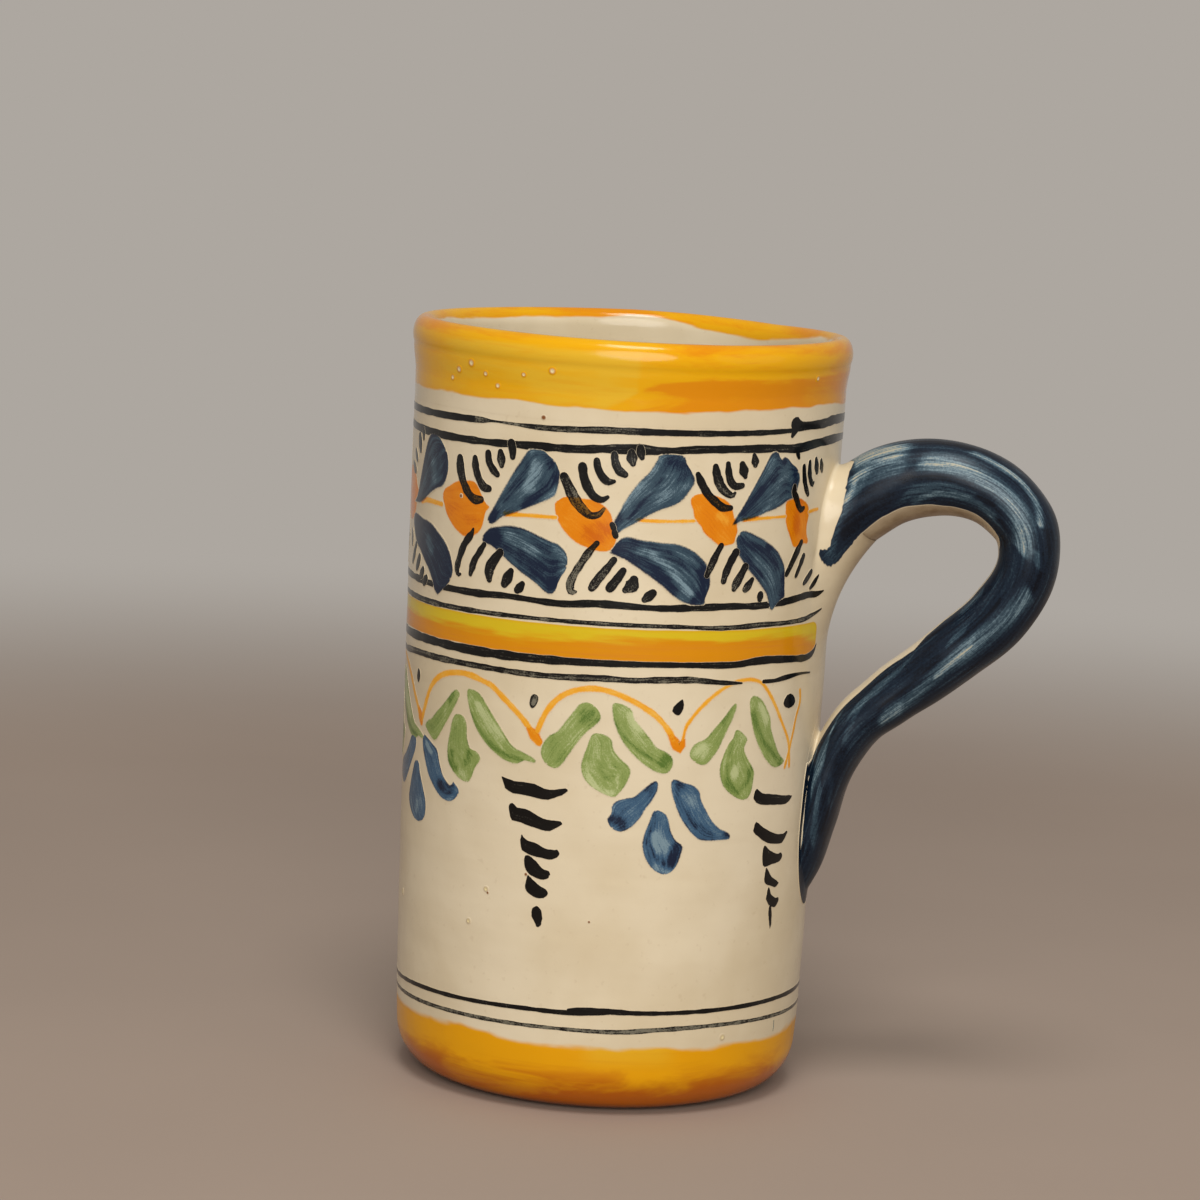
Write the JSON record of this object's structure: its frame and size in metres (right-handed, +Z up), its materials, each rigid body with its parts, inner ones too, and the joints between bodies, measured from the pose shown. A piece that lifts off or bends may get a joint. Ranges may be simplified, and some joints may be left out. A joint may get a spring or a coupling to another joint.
{
  "type": "mug",
  "caption": "Tall hand-thrown ceramic mug with a pulled coil handle and painted bands in white tin glaze.",
  "frame": {"origin": "centre of the foot ring on the table, on the cup's axis", "axes": "+Z up along the cup's axis, +X from the axis towards the handle, +Y across the handle"},
  "size_m": [0.1198, 0.08, 0.1382],
  "materials": {
    "bare_clay": "matte unglazed earthenware, wiped at the foot",
    "white_glaze": "glossy cream-white tin glaze with small pits",
    "yellow_enamel": "glossy brushed yellow with orange patches",
    "orange_enamel": "glossy brushed yellow over orange",
    "foot_enamel": "glossy brushed yellow, browner at the foot",
    "blue_enamel": "glossy streaky dark blue over cream",
    "joint_glaze": "glossy cream-white glaze pooled over the slip"
  },
  "bodies": {
    "root": {"clay_body": "bare_clay", "inside_glaze": "white_glaze", "white_glaze": "white_glaze", "rim_band": "yellow_enamel", "middle_band": "orange_enamel", "foot_band": "foot_enamel", "handle": "blue_enamel", "upper_luting": "joint_glaze", "lower_luting": "joint_glaze"}
  },
  "joints": []
}
